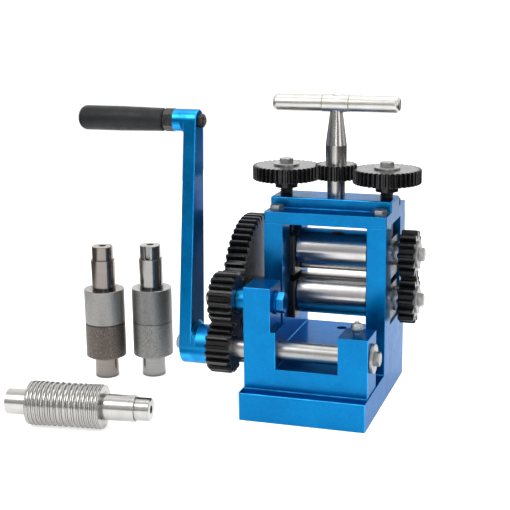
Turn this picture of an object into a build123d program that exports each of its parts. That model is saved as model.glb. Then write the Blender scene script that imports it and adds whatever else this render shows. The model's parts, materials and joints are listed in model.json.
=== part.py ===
from build123d import *
from math import acos, atan2, cos, pi, radians, sin, sqrt, tan
import os

# Hand cranked rolling mill for a jeweller's bench, in millimetres.
# Origin: the centre of the plinth's underside. X runs along the rolls, Y to the back, Z up.
# The crank is on the left, the pair of roll gears on the right, the tee handle on top.

# ---------------------------------------------------------------- clearances
running_clearance = 0.05      # radial, shaft in bush
fitted_clearance = 0.02       # radial, pressed, keyed and threaded fits
sliding_clearance = 0.15      # each side of a bearing block in its slot
end_clearance = 0.3           # axial, between parts that turn past each other
tooth_backlash = 0.25         # tooth thinning at the pitch circle, spur train
roll_tooth_backlash = 0.5     # the same, roll gears, which also work at a wider centre distance
train_tip_clearance = 0.93    # between the crank pinion's teeth and the drive gear's, which aren't in mesh
thread_end = 1.0              # how far a tapped hole goes past its screw, or a bolt past its nut
cut_allowance = 1.0           # how far a cut starts outside the metal

# ---------------------------------------------------------------- plinth and table
plinth_ledge = 15.0           # the plinth's length in front of the bracket
plinth_height = 28.8
table_height = 52.5
plinth_edge_radius = 1.2
bench_hole_diameter = 11.0
bench_hole_from_back = 21.5
bench_hole_spacing = 96.0

# ---------------------------------------------------------------- side frames and top plate
frame_thickness = 20.0
frame_depth = 99.0
frame_headroom = 18.2         # above the upper bearing blocks, when the rolls are open
slot_width = 47.0
tier_thickness = 12.3
crossbar_height = 11.5
crossbar_from_front_bolts = 10.0
crossbar_from_rear_bolts = 19.5
plate_edge_radius = 1.6
plate_bolt_from_edge = 14.5
plate_bolt_grip = 30.0

# ---------------------------------------------------------------- rolls
lower_roll_z = 99.0
roll_diameter = 44.0
roll_length = 76.0
roll_gap_open = 5.0
roll_gap_closed = 0.3
journal_diameter = 26.0
short_journal_length = 24.0
long_journal_length = 32.8
gear_seat_diameter = 23.0
gear_seat_length = 15.0
journal_relief_depth = 0.6
journal_relief_width = 2.0
roll_edge_chamfer = 0.5
drive_seat_length = 21.0
drive_journal_length = 42.2   # from the lower roll's barrel to the drive gear

# ---------------------------------------------------------------- bearing blocks
block_thickness = 24.0
block_above_axis = 17.0
lower_block_below_axis = 23.0
upper_block_below_axis = 25.0
block_lip_thickness = 5.7     # the part that stands out of the side frame towards the roll
block_flange_lip = 2.0
block_edge_chamfer = 1.0
bush_wall = 2.0
roll_side_clearance = 0.5

# ---------------------------------------------------------------- lifting springs
spring_wire = 1.5
spring_mean_diameter = 7.2
spring_turns = 6
spring_offset = 17.0          # fore and aft of the roll axis
spring_pocket_lower = 5.0
spring_pocket_upper = 11.0
spring_pocket_clearance = 0.4

# ---------------------------------------------------------------- front bracket
bracket_inset = 1.0           # each side, from the plinth's edge
bracket_depth = 37.5
bracket_above_idler = 18.9    # left post
bracket_above_shaft = 23.7    # right post and the left post's step
bracket_gap_below_shaft = 14.2
left_post_width = 27.8
left_step_width = 33.1
right_post_width = 30.4
idler_boss_diameter = 22.0
idler_boss_length = 11.5
bracket_edge_radius = 0.8

# ---------------------------------------------------------------- gear train, left side
pressure_angle = radians(20)
root_depth = 1.25             # in modules
train_module = 2.75
pinion_teeth = 18
idler_teeth = 18
drive_teeth = 58
pinion_width = 25.9
idler_width = 25.2
drive_width = 22.0
pinion_offset = 2.0           # the crank pinion stands this much further out than the idler
train_gear_chamfer = 2.6      # at the ends of the teeth
drive_gear_chamfer = 1.6
train_key_width = 6.0
train_key_height = 5.0

# ---------------------------------------------------------------- roll gears, right side
roll_gear_teeth = 13
roll_gear_module = 3.4
roll_gear_width = 17.3
roll_gear_chamfer = 1.4

# ---------------------------------------------------------------- crank
shaft_z = 65.5
shaft_diameter = 20.0
shaft_end_diameter = 18.0     # in the right bush, against its shoulder
shaft_seat_diameter = 18.0    # carries the pinion and the arm
crank_bush_wall = 3.0
crank_radius = 228.0
crank_lean = 5.0              # degrees behind upright, where the crank stands
arm_thickness = 13.2
arm_hub_radius = 20.4
arm_eye_radius = 11.2
arm_hub_length = 16.2
arm_eye_length = 12.6
arm_edge_radius = 1.2
arm_flare = 4.0               # where the hub and the eye's boss run out into the arm
arm_cap_thickness = 1.0       # of the arm over the end of the shaft
crank_key_inset = 2.0         # the crank's keys end this far inside the shaft's end
pinion_key_inset = 1.0        # and this far inside the pinion's inner face
crank_end_bolt_turn = 30.0    # degrees, how the hexagon stands
grip_collar_flats = 20.0
grip_collar_width = 11.2
grip_length = 93.0
grip_outer_diameter = 25.0
grip_inner_diameter = 23.2
grip_end_radius = 8.0
grip_spindle_diameter = 10.0
grip_spindle_head_diameter = 15.0
grip_spindle_head_height = 4.0
grip_closed_end = 9.0

# ---------------------------------------------------------------- adjusting screws and tee handle
adjuster_module = 1.75
screw_gear_teeth = 39
centre_pinion_teeth = 23
screw_diameter = 14.0
screw_pitch = 2.0
screw_tip_chamfer = 1.0
screw_square = 9.5
screw_gear_lift = 30.0        # top face above the crossbar
screw_gear_width = 15.0
adjuster_chamfer = 0.9
screw_gear_boss_diameter = 24.0
screw_gear_boss_height = 8.5
screw_gear_recess = 1.0       # the square ends this far below the gear's top face
centre_pinion_lift = 33.1     # top face above the crossbar
centre_pinion_width = 15.7
spindle_journal_diameter = 10.0
spindle_seat_diameter = 19.0
spindle_column_diameter = 22.3
spindle_neck_diameter = 13.0
spindle_column_length = 19.9  # from the pinion to the taper
tee_z = 303.2
tee_hub_diameter = 18.6
tee_hub_length = 29.0
tee_bar_diameter = 17.7
tee_bar_length = 134.0
tee_bar_end_radius = 4.0
tee_tenon_diameter = 9.0
tee_stud_diameter = 10.0
tee_stud_length = 9.0
tee_tenon_root = 1.0          # of the tenon inside the spindle's neck
tee_seam_chamfer = 0.8
spindle_screw_flange_diameter = 13.0
spindle_screw_flange_height = 2.0
spindle_screw_head_flats = 8.0
spindle_screw_head_height = 2.0

# ---------------------------------------------------------------- standard fasteners
m6_diameter = 6.0
m8_diameter = 8.0
m8_flats = 13.0
m8_head = 5.3
m8_reach = 20.0
m12_diameter = 12.0
m12_flats = 19.0
m12_head = 7.5
roll_washer_diameter = 28.0
roll_washer_thickness = 2.0
screw_washer_diameter = 27.5
crank_end_washer_diameter = 29.6
crank_end_washer_thickness = 3.0
hub_washer_diameter = 16.0
hub_washer_thickness = 3.0
idler_washer_diameter = 24.0
idler_end_washer_diameter = 16.0
idler_washer_thickness = 2.5
m8_nut_flats = 12.0
m8_nut_height = 5.0
socket_head_diameter = 13.0
socket_head_height = 8.0
socket_key_flats = 6.0
socket_key_depth = 4.0
base_screw_recess = 1.0       # the socket heads sit this far inside the underside
base_screw_reach = 16.0       # thread in the part above the plinth
base_screw_from_edge = 15.0

# ---------------------------------------------------------------- oiler
oiler_body_diameter = 12.6
oiler_height = 14.0
oiler_stem_diameter = 6.0
oil_hole_diameter = 2.0

# ---------------------------------------------------------------- spare rolls
plain_roll_place = (-249.5, -4.2)
plain_roll_turn = 125.0       # degrees, which way its keyway faces
knurled_roll_place = (-201.0, 14.6)
knurled_roll_turn = 5.0       # degrees
plain_roll_groove = 0.7
knurled_roll_groove = 0.35
wire_roll_centre = (-222.5, -155.7)
wire_roll_angle = 6.7         # degrees from the X axis
wire_groove_count = 8         # each half of the barrel
wire_groove_smallest = 1.2
wire_groove_step = 0.2
wire_groove_land = 1.0
wire_groove_depth_share = 0.9

# ---------------------------------------------------------------- worked out from the above
thread_radius = m8_diameter / 2
roll_radius = roll_diameter / 2
barrel_end = roll_length / 2
block_inner_x = barrel_end + roll_side_clearance
block_outer_x = block_inner_x + block_thickness
frame_inner_x = block_inner_x + block_lip_thickness + end_clearance
frame_outer_x = frame_inner_x + frame_thickness
frame_centre_x = frame_inner_x + frame_thickness / 2
bracket_half = frame_outer_x - bracket_inset
spring_x = (frame_inner_x + block_outer_x) / 2

# The crank shaft stands as near to the lower roll as the teeth allow. The plinth reaches from the
# back of the side frames to its ledge, with the rolls midway in the side frames.
pinion_tip_radius = train_module * (pinion_teeth / 2 + 1)
drive_tip_radius = train_module * (drive_teeth / 2 + 1)
shaft_to_roll = pinion_tip_radius + drive_tip_radius + train_tip_clearance
shaft_from_roll_y = sqrt(shaft_to_roll ** 2 - (lower_roll_z - shaft_z) ** 2)
plinth_depth = frame_depth / 2 + shaft_from_roll_y + bracket_depth / 2 + plinth_ledge
plinth_back = plinth_depth / 2
roll_y = plinth_back - frame_depth / 2
shaft_y = roll_y - shaft_from_roll_y
frame_front_y = plinth_back - frame_depth
bracket_front_y = shaft_y - bracket_depth / 2
bracket_back_y = shaft_y + bracket_depth / 2

upper_roll_z = lower_roll_z + roll_diameter + roll_gap_open
gap_travel = roll_gap_open - roll_gap_closed
slot_floor = lower_roll_z - lower_block_below_axis
upper_block_top = upper_roll_z + block_above_axis
frame_top = upper_block_top + frame_headroom
tier_top = frame_top + tier_thickness
crossbar_top = tier_top + crossbar_height
screw_gear_top = crossbar_top + screw_gear_lift
centre_pinion_top = crossbar_top + centre_pinion_lift
spindle_taper_start = centre_pinion_top + spindle_column_length
screw_spacing = adjuster_module * (screw_gear_teeth + centre_pinion_teeth) / 2

bush_radius = journal_diameter / 2 + bush_wall
roll_gear_x = barrel_end + long_journal_length
left_post_inner_x = -bracket_half + left_post_width
left_step_inner_x = -bracket_half + left_step_width
right_post_inner_x = bracket_half - right_post_width
oiler_x = bracket_half - right_post_width / 2
shaft_end_x = bracket_half + end_clearance
idler_inner_x = bracket_half + idler_boss_length + end_clearance
crank_pinion_inner_x = idler_inner_x + pinion_offset
arm_hub_x = -crank_pinion_inner_x - pinion_width
arm_inner_x = arm_hub_x - arm_hub_length
arm_outer_x = arm_inner_x - arm_thickness
eye_outer_x = arm_outer_x - arm_eye_length
collar_outer_x = eye_outer_x - grip_collar_width
grip_inner_x = collar_outer_x - end_clearance
STANDING = Align.CENTER, Align.CENTER, Align.MIN

parts = {}


# ================================================================ shapes used again and again
def along(x, y, z, direction):
    """Place that turns a shape's own +Z to the named direction."""
    turns = {"+x": (0, 90, 0), "-x": (0, -90, 0), "+z": (0, 0, 0), "-z": (180, 0, 0)}
    return Location((x, y, z), turns[direction])


def rod_x(radius, x_from, x_to, y, z):
    """Round bar along X."""
    return along(min(x_from, x_to), y, z, "+x") * Cylinder(radius, abs(x_to - x_from), align=STANDING)


def rod_z(radius, z_from, z_to, x, y):
    """Round bar along Z."""
    return Location((x, y, z_from)) * Cylinder(radius, z_to - z_from, align=STANDING)


def block(x_from, x_to, y_from, y_to, z_from, z_to):
    """Rectangular block between its six faces."""
    size = (x_to - x_from, y_to - y_from, z_to - z_from)
    middle = ((x_from + x_to) / 2, (y_from + y_to) / 2, (z_from + z_to) / 2)
    return Location(middle) * Box(*size)


def section_plane(x, y, z):
    """Plane across the X axis: its own x is the model's Y, its own y the model's Z."""
    return Plane(origin=(x, y, z), x_dir=(0, 1, 0), z_dir=(1, 0, 0))


def mirrored(shape):
    """The same shape on the other side of the mill."""
    return mirror(shape, Plane.YZ)


def hexagon_prism(flats, height):
    """Hexagon bar standing on z = 0, its upper corners turned down."""
    crown_radius = 0.95 * flats / 2
    slope = tan(radians(30))
    bar = extrude(RegularPolygon(flats / 2, 6, major_radius=False), height)
    return bar & Cone(crown_radius + height / slope, crown_radius, height, align=STANDING)


def hex_bolt(diameter, flats, head, reach):
    """Hexagon bolt: the underside of its head on z = 0, the shank below."""
    shank = rod_z(diameter / 2 - fitted_clearance, -reach, 0, 0, 0)
    tip = shank.edges().group_by(Axis.Z)[0]
    return hexagon_prism(flats, head) + chamfer(tip, diameter / 10)


def washer(diameter, bore, thickness):
    """Flat ring standing on z = 0."""
    ring = Cylinder(diameter / 2, thickness, align=STANDING)
    rims = ring.edges().group_by(Axis.Z)[-1]
    ring = chamfer(rims, thickness / 6)
    return ring - Cylinder(bore / 2 + fitted_clearance, thickness, align=STANDING)


def hex_nut(flats, bore, height):
    """Hexagon nut standing on z = 0."""
    return hexagon_prism(flats, height) - Cylinder(bore / 2 + fitted_clearance, height, align=STANDING)


def socket_screw(diameter, reach):
    """Cap screw: the underside of its head on z = 0, the shank below, a hexagon key hole in the head."""
    head = Cylinder(socket_head_diameter / 2, socket_head_height, align=STANDING)
    key = RegularPolygon(socket_key_flats / 2, 6, major_radius=False)
    key_hole = Location((0, 0, socket_head_height)) * extrude(key, -socket_key_depth)
    return head - key_hole + rod_z(diameter / 2 - fitted_clearance, -reach, 0, 0, 0)


def ring_x(outer, inner, x_from, x_to, y, z):
    """Plain bush along X."""
    return rod_x(outer, x_from, x_to, y, z) - rod_x(inner, x_from, x_to, y, z)


# ================================================================ gears
def involute_turn(radius, base_radius):
    """Angle an involute sweeps from its base circle out to a radius."""
    ratio = max(radius / base_radius, 1.0)
    return sqrt(ratio ** 2 - 1) - acos(1 / ratio)


def gear_face(teeth, module, backlash, phase):
    """Outline of a spur gear with the centre line of a tooth at the phase angle, in radians."""
    pitch_radius = module * teeth / 2
    base_radius = pitch_radius * cos(pressure_angle)
    tip_radius = pitch_radius + module
    root_radius = pitch_radius - root_depth * module
    flank_radius = max(base_radius, root_radius)
    half_at_pitch = (pi * module / 2 - backlash) / (2 * pitch_radius)
    half_at_base = half_at_pitch + involute_turn(pitch_radius, base_radius)

    def half_angle(radius):
        return half_at_base - involute_turn(radius, base_radius)

    def point(radius, angle):
        return Vector(radius * cos(angle), radius * sin(angle))

    step = 2 * pi / teeth
    middle_radius = (flank_radius + tip_radius) / 2
    foot = half_angle(flank_radius)
    edges = []
    for index in range(teeth):
        centre = phase + index * step
        for side in (-1, 1):
            flank = [point(radius, centre + side * half_angle(radius))
                     for radius in (flank_radius, middle_radius, tip_radius)]
            root = point(root_radius, centre + side * foot)
            pieces = [ThreePointArc(*flank)]
            if base_radius > root_radius:
                pieces.insert(0, Line(root, flank[0]))
            edges += pieces
        tip_half = half_angle(tip_radius)
        edges.append(ThreePointArc(point(tip_radius, centre - tip_half), point(tip_radius, centre),
                                   point(tip_radius, centre + tip_half)))
        edges.append(ThreePointArc(point(root_radius, centre + foot), point(root_radius, centre + step / 2),
                                   point(root_radius, centre + step - foot)))
    return Face(Wire(edges))


def spur_gear(teeth, module, backlash, phase, width, end_chamfer):
    """Spur gear standing on z = 0, with the ends of its teeth bevelled."""
    disc = Cylinder(module * (teeth / 2 + 1) + fitted_clearance, width, align=STANDING)
    disc = chamfer(disc.edges().filter_by(GeomType.CIRCLE), end_chamfer)
    return extrude(gear_face(teeth, module, backlash, phase), width) & disc


def meshing_phase(phase, teeth, other_teeth, direction):
    """Phase of a second gear, in mesh with a first one that lies in the opposite direction from it.

    direction is the angle from the first gear's centre to the second's."""
    step = 2 * pi / teeth
    offset = (phase - direction) - step * round((phase - direction) / step)
    return direction + pi - offset * teeth / other_teeth + pi / other_teeth


# ================================================================ plinth
def bench_holes():
    rear_y = plinth_back - bench_hole_from_back
    places = (rear_y - bench_hole_spacing, rear_y)
    return Compound([rod_z(bench_hole_diameter / 2, 0, table_height, 0, y) for y in places])


def base_screw_places():
    """Where screws from below hold the side frames and the front bracket."""
    front_y = frame_front_y + base_screw_from_edge
    back_y = plinth_back - base_screw_from_edge
    side_x = bracket_half - base_screw_from_edge
    side = [(x, y) for x in (-frame_centre_x, frame_centre_x) for y in (front_y, back_y)]
    bracket = [(x, shaft_y) for x in (-side_x, side_x)]
    return side + bracket


def base_screw_shafts(z_from, z_to, radius):
    """Round bars at the places of the screws under the plinth."""
    bars = [rod_z(radius, z_from, z_to, x, y) for x, y in base_screw_places()]
    return Compound(bars)


head_seat = base_screw_recess + socket_head_height
plinth = block(-frame_outer_x, frame_outer_x, -plinth_back, plinth_back, 0, plinth_height)
upright_edges = plinth.edges().filter_by(Axis.Z).group_by(Axis.Y)[0]
plinth = fillet(upright_edges + plinth.edges().group_by(Axis.Z)[-1].group_by(Axis.Y)[0], plinth_edge_radius)
plinth += block(-frame_inner_x, frame_inner_x, frame_front_y, plinth_back, plinth_height, table_height)
plinth -= bench_holes()
plinth -= base_screw_shafts(0, head_seat, socket_head_diameter / 2 + end_clearance)
plinth -= base_screw_shafts(0, plinth_height, thread_radius)
parts["plinth"] = plinth

base_screw_length = plinth_height - head_seat + base_screw_reach
parts["base_screws"] = Compound([along(x, y, head_seat, "-z") * socket_screw(m8_diameter, base_screw_length)
                                 for x, y in base_screw_places()])
tapped_hole_end = plinth_height + base_screw_reach + thread_end
tapped_from_below = base_screw_shafts(plinth_height, tapped_hole_end, thread_radius)


# ================================================================ side frames and top plate
front_bolt_y = frame_front_y + plate_bolt_from_edge
rear_bolt_y = plinth_back - plate_bolt_from_edge
plate_bolt_places = [(x, y) for x in (-frame_centre_x, frame_centre_x) for y in (front_bolt_y, rear_bolt_y)]
plate_bolt_end = tier_top - plate_bolt_grip
tapped_from_above = Compound([rod_z(thread_radius, plate_bolt_end - thread_end, frame_top, x, y)
                              for x, y in plate_bolt_places])
slot_front_y = roll_y - slot_width / 2
slot_back_y = roll_y + slot_width / 2
frame_plate = block(frame_inner_x, frame_outer_x, frame_front_y, plinth_back, plinth_height, frame_top)
frame_plate -= block(frame_inner_x, frame_outer_x, slot_front_y, slot_back_y, slot_floor, frame_top)
parts["right_side_frame"] = frame_plate - tapped_from_below - tapped_from_above
parts["left_side_frame"] = mirrored(frame_plate) - tapped_from_below - tapped_from_above

top_plate = block(-frame_outer_x, frame_outer_x, frame_front_y, plinth_back, frame_top, tier_top)
crossbar_front_y = front_bolt_y + crossbar_from_front_bolts
crossbar_back_y = rear_bolt_y - crossbar_from_rear_bolts
top_plate += block(-frame_outer_x, frame_outer_x, crossbar_front_y, crossbar_back_y, tier_top, crossbar_top)
top_edges = top_plate.edges().group_by(Axis.Z)[-1] + top_plate.edges().filter_by(Axis.Z)
top_plate = fillet(top_edges, plate_edge_radius)
for x in (-screw_spacing, screw_spacing):
    top_plate -= rod_z(screw_diameter / 2 + running_clearance, frame_top, crossbar_top, x, roll_y)
top_plate -= rod_z(spindle_journal_diameter / 2 + running_clearance, frame_top, crossbar_top, 0, roll_y)
for x, y in plate_bolt_places:
    top_plate -= rod_z(thread_radius, frame_top, tier_top, x, y)
parts["top_plate"] = top_plate
plate_bolt = hex_bolt(m8_diameter, m8_flats, m8_head, plate_bolt_grip)
parts["top_plate_bolts"] = Compound([Location((x, y, tier_top)) * plate_bolt for x, y in plate_bolt_places])


# ================================================================ bearing blocks, bushes and springs
def spring_places(side):
    return [(side * spring_x, roll_y + offset) for offset in (-spring_offset, spring_offset)]


def bearing_block(side, axis_z, below, above):
    """Block that slides in a side frame's slot, with a lip against the frame's inner face."""
    half = slot_width / 2 - sliding_clearance
    lip_half = slot_width / 2 + block_flange_lip
    lip_x = frame_inner_x - end_clearance
    body = block(block_inner_x, block_outer_x, roll_y - half, roll_y + half, axis_z - below, axis_z + above)
    body += block(block_inner_x, lip_x, roll_y - lip_half, roll_y + lip_half, axis_z - below, axis_z + above)
    body = chamfer(body.faces().sort_by(Axis.X)[0].edges().filter_by(Axis.Z), block_edge_chamfer)
    body -= rod_x(bush_radius + fitted_clearance, block_inner_x, block_outer_x, roll_y, axis_z)
    return body if side > 0 else mirrored(body)


pocket_radius = (spring_mean_diameter + spring_wire) / 2 + spring_pocket_clearance
lower_block_top = lower_roll_z + block_above_axis
upper_block_bottom = upper_roll_z - upper_block_below_axis
spring_bottom = lower_block_top - spring_pocket_lower
spring_top = upper_block_bottom + spring_pocket_upper
screw_tip_z = upper_block_top + running_clearance

for name, side in (("left", -1), ("right", 1)):
    lower = bearing_block(side, lower_roll_z, lower_block_below_axis, block_above_axis)
    upper = bearing_block(side, upper_roll_z, upper_block_below_axis, block_above_axis)
    for x, y in spring_places(side):
        lower -= rod_z(pocket_radius, spring_bottom, lower_block_top, x, y)
        upper -= rod_z(pocket_radius, upper_block_bottom, spring_top, x, y)
    parts[f"lower_{name}_bearing_block"] = lower
    parts[f"upper_{name}_bearing_block"] = upper

roll_bush_bore = journal_diameter / 2 + running_clearance
for name, axis_z in (("lower", lower_roll_z), ("upper", upper_roll_z)):
    bush = ring_x(bush_radius, roll_bush_bore, block_inner_x, block_outer_x, roll_y, axis_z)
    parts[f"{name}_roll_bushes"] = Compound([bush, mirrored(bush)])


def helix_point(angle, radius, pitch):
    return Vector(radius * cos(angle), radius * sin(angle), pitch * angle / (2 * pi))


def helix_tangent(angle, radius, pitch):
    return Vector(-radius * sin(angle), radius * cos(angle), pitch / (2 * pi)).normalized()


def helix_path(radius, pitch, turns):
    """Helix as two tangent arcs to each quarter turn."""
    edges = []
    for quarter in range(4 * turns):
        first, last = quarter * pi / 2, (quarter + 1) * pi / 2
        start, end = helix_point(first, radius, pitch), helix_point(last, radius, pitch)
        leaving, arriving = helix_tangent(first, radius, pitch), helix_tangent(last, radius, pitch)
        chord = end - start
        a = 2 * (leaving.dot(arriving) - 1)
        b = -2 * chord.dot(leaving + arriving)
        c = chord.dot(chord)
        reach = (-b - sqrt(b * b - 4 * a * c)) / (2 * a)
        near, far = start + leaving * reach, end - arriving * reach
        joint = (near + far) * 0.5
        edges.append(Edge.make_tangent_arc(start, leaving, joint))
        edges.append(Edge.make_tangent_arc(joint, far - near, end))
    return Wire(edges)


def least_gap_to_itself(radius, pitch, turns, wire, steps=48):
    """Smallest distance between the surfaces of a spring's curls, on points along its wire."""
    points = [helix_point(2 * pi * index / steps, radius, pitch) for index in range(steps * turns + 1)]
    pairs = [(one, other) for one in range(len(points)) for other in range(one + steps // 2, len(points))]
    return min((points[one] - points[other]).length for one, other in pairs) - wire


spring_pitch = (spring_top - spring_bottom - spring_wire) / spring_turns
spring_radius = spring_mean_diameter / 2
spring_path = helix_path(spring_radius, spring_pitch, spring_turns)
spring_section = Plane(origin=spring_path @ 0, z_dir=spring_path % 0) * Circle(spring_wire / 2)
spring = sweep(spring_section, path=spring_path)
print("spring: least gap to itself",
      round(least_gap_to_itself(spring_radius, spring_pitch, spring_turns, spring_wire), 2), "mm")
parts["lift_springs"] = Compound([Location((x, y, spring_bottom + spring_wire / 2)) * spring
                                  for side in (-1, 1) for x, y in spring_places(side)])

# ================================================================ front bracket
idler_from_shaft = train_module * (pinion_teeth + idler_teeth) / 2
idler_from_roll = train_module * (idler_teeth + drive_teeth) / 2
along_line = (idler_from_shaft ** 2 - idler_from_roll ** 2 + shaft_to_roll ** 2) / (2 * shaft_to_roll)
off_line = sqrt(idler_from_shaft ** 2 - along_line ** 2)
line_y = (roll_y - shaft_y) / shaft_to_roll
line_z = (lower_roll_z - shaft_z) / shaft_to_roll
idler_y = shaft_y + along_line * line_y - off_line * line_z
idler_z = shaft_z + along_line * line_z + off_line * line_y
crank_bush_radius = shaft_diameter / 2 + crank_bush_wall
bracket_height = idler_z + bracket_above_idler
bracket_low_height = shaft_z + bracket_above_shaft
bracket_gap_floor = shaft_z - bracket_gap_below_shaft


def across_bracket(x_from, x_to, z_from, z_to):
    return block(x_from, x_to, bracket_front_y, bracket_back_y, z_from, z_to)


bracket = across_bracket(-bracket_half, bracket_half, plinth_height, bracket_low_height)
bracket -= across_bracket(left_step_inner_x, right_post_inner_x, bracket_gap_floor, bracket_low_height)
bracket += across_bracket(-bracket_half, left_post_inner_x, bracket_low_height, bracket_height)
bracket_edges = bracket.edges().group_by(Axis.Z)[-1] + bracket.edges().filter_by(Axis.Z).group_by(Axis.Y)[0]
bracket = fillet(bracket_edges, bracket_edge_radius)
bracket += rod_x(idler_boss_diameter / 2, -idler_inner_x + end_clearance, -bracket_half, idler_y, idler_z)
bracket -= rod_x(crank_bush_radius + fitted_clearance, -bracket_half, bracket_half, shaft_y, shaft_z)
bracket -= rod_x(m12_diameter / 2, -idler_inner_x, left_post_inner_x, idler_y, idler_z)
bracket -= rod_z(oiler_stem_diameter / 2, shaft_z, bracket_low_height, oiler_x, shaft_y)
parts["front_bracket"] = bracket - tapped_from_below

left_bore = shaft_diameter / 2 + running_clearance
right_bore = shaft_end_diameter / 2 + running_clearance
left_bush = ring_x(crank_bush_radius, left_bore, -bracket_half, left_step_inner_x, shaft_y, shaft_z)
right_bush = ring_x(crank_bush_radius, right_bore, right_post_inner_x, bracket_half, shaft_y, shaft_z)
right_bush -= rod_z(oil_hole_diameter / 2, shaft_z, shaft_z + crank_bush_radius, oiler_x, shaft_y)
parts["crank_shaft_bushes"] = Compound([left_bush, right_bush])

# The oiler: a threaded stem, a foot, a round body and a small nipple on top.
oiler_stem_end = shaft_z + crank_bush_radius + fitted_clearance - bracket_low_height
oiler_stem = oiler_stem_diameter / 2 - fitted_clearance
oiler_foot = oiler_body_diameter * 0.3
oiler_waist = (oiler_foot, oiler_height * 0.18)
oiler_belly = (oiler_body_diameter / 2, oiler_height * 0.5)
oiler_shoulder = (oiler_foot, oiler_height * 0.82)
oiler_below = Polyline((0, oiler_stem_end), (oiler_stem, oiler_stem_end), (oiler_stem, 0), (oiler_foot, 0),
                       oiler_waist)
oiler_nipple = oiler_foot / 2
oiler_above = Polyline(oiler_shoulder, (oiler_nipple, oiler_height * 0.86), (oiler_nipple, oiler_height * 0.96),
                       (oiler_nipple / 2, oiler_height), (0, oiler_height), (0, oiler_stem_end))
oiler_round = ThreePointArc(oiler_waist, oiler_belly, oiler_shoulder)
oiler_section = Plane.XZ * make_face([oiler_below, oiler_round, oiler_above])
oiler = revolve(oiler_section, Axis.Z)
oiler -= rod_z(oil_hole_diameter / 2, oiler_stem_end, oiler_height / 2, 0, 0)
parts["oiler"] = Location((oiler_x, shaft_y, bracket_low_height)) * oiler

# The idler turns on a stud through the left post. Outside the idler the stud is turned down to M8
# for a washer and a nut, and under its blue head there is a washer too.
idler_outer_x = idler_inner_x + idler_width
idler_washer_x = idler_outer_x + end_clearance
idler_nut_x = idler_washer_x + idler_washer_thickness
idler_head_x = left_post_inner_x + idler_washer_thickness
stud_reach = idler_head_x + idler_washer_x
stud_end_x = -idler_nut_x - m8_nut_height - thread_end
idler_stud = hex_bolt(m12_diameter, m12_flats, m12_head, stud_reach)
idler_stud = along(idler_head_x, idler_y, idler_z, "+x") * idler_stud
idler_stud += rod_x(m8_diameter / 2 - fitted_clearance, stud_end_x, -idler_washer_x, idler_y, idler_z)
parts["idler_stud"] = idler_stud
idler_washer = washer(idler_washer_diameter, m12_diameter, idler_washer_thickness)
end_washer = washer(idler_end_washer_diameter, m8_diameter, idler_washer_thickness)
parts["idler_washers"] = Compound([along(left_post_inner_x, idler_y, idler_z, "+x") * idler_washer,
                                   along(-idler_washer_x, idler_y, idler_z, "-x") * end_washer])
parts["idler_nut"] = (along(-idler_nut_x, idler_y, idler_z, "-x")
                      * hex_nut(m8_nut_flats, m8_diameter, m8_nut_height))

# ================================================================ gear train
to_idler = atan2(idler_z - shaft_z, idler_y - shaft_y)
to_drive = atan2(lower_roll_z - idler_z, roll_y - idler_y)
pinion_phase = to_idler
idler_phase = meshing_phase(pinion_phase, pinion_teeth, idler_teeth, to_idler)
drive_phase = meshing_phase(idler_phase, idler_teeth, drive_teeth, to_drive)


def train_gear(teeth, phase, width, inner_x, y, z, end_chamfer=train_gear_chamfer,
               module=train_module, backlash=tooth_backlash):
    """Spur gear across X with its right face at inner_x."""
    gear = spur_gear(teeth, module, backlash, phase, width, end_chamfer)
    return section_plane(inner_x - width, y, z).location * gear


def keyway(x_from, x_to, y, z, bore_radius):
    """Slot for a key that stands half out of the top of a shaft."""
    low = z + bore_radius - train_key_height / 2
    half = train_key_width / 2
    return block(x_from, x_to, y - half, y + half, low, low + train_key_height)


def key(x_from, x_to, y, z, bore_radius):
    """Key with rounded ends, half in the shaft and half in the hub."""
    bar = keyway(x_from, x_to, y, z, bore_radius)
    return fillet(bar.edges().filter_by(Axis.Z), train_key_width / 2 - fitted_clearance)


drive_inner_x = -barrel_end - drive_journal_length
drive_outer_x = drive_inner_x - drive_width
pinion_inner_x = -crank_pinion_inner_x
pinion_outer_x = pinion_inner_x - pinion_width
seat_radius = gear_seat_diameter / 2
shaft_seat_radius = shaft_seat_diameter / 2

drive_gear = train_gear(drive_teeth, drive_phase, drive_width, drive_inner_x, roll_y, lower_roll_z,
                        drive_gear_chamfer)
drive_gear -= rod_x(seat_radius + fitted_clearance, drive_outer_x, drive_inner_x, roll_y, lower_roll_z)
drive_gear -= keyway(drive_outer_x, drive_inner_x, roll_y, lower_roll_z, seat_radius)
parts["drive_gear"] = drive_gear

pinion = train_gear(pinion_teeth, pinion_phase, pinion_width, pinion_inner_x, shaft_y, shaft_z)
pinion -= rod_x(shaft_seat_radius + fitted_clearance, pinion_outer_x, pinion_inner_x, shaft_y, shaft_z)
pinion -= keyway(pinion_outer_x, pinion_inner_x, shaft_y, shaft_z, shaft_seat_radius)
parts["crank_pinion"] = pinion

idler_bush_radius = m12_diameter / 2 + bush_wall
idler_gear = train_gear(idler_teeth, idler_phase, idler_width, -idler_inner_x, idler_y, idler_z)
idler_gear -= rod_x(idler_bush_radius + fitted_clearance, -idler_outer_x, -idler_inner_x, idler_y, idler_z)
parts["idler_gear"] = idler_gear
parts["idler_bush"] = ring_x(idler_bush_radius, m12_diameter / 2 - fitted_clearance + running_clearance,
                             -idler_outer_x, -idler_inner_x, idler_y, idler_z)


# ================================================================ rolls
def turned_groove(radius, depth, z_from, z_to):
    """What a square-ended tool takes off a round bar that stands on z = 0."""
    outside = rod_z(radius + cut_allowance, z_from, z_to, 0, 0)
    return outside - rod_z(radius - depth, z_from, z_to, 0, 0)


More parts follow.
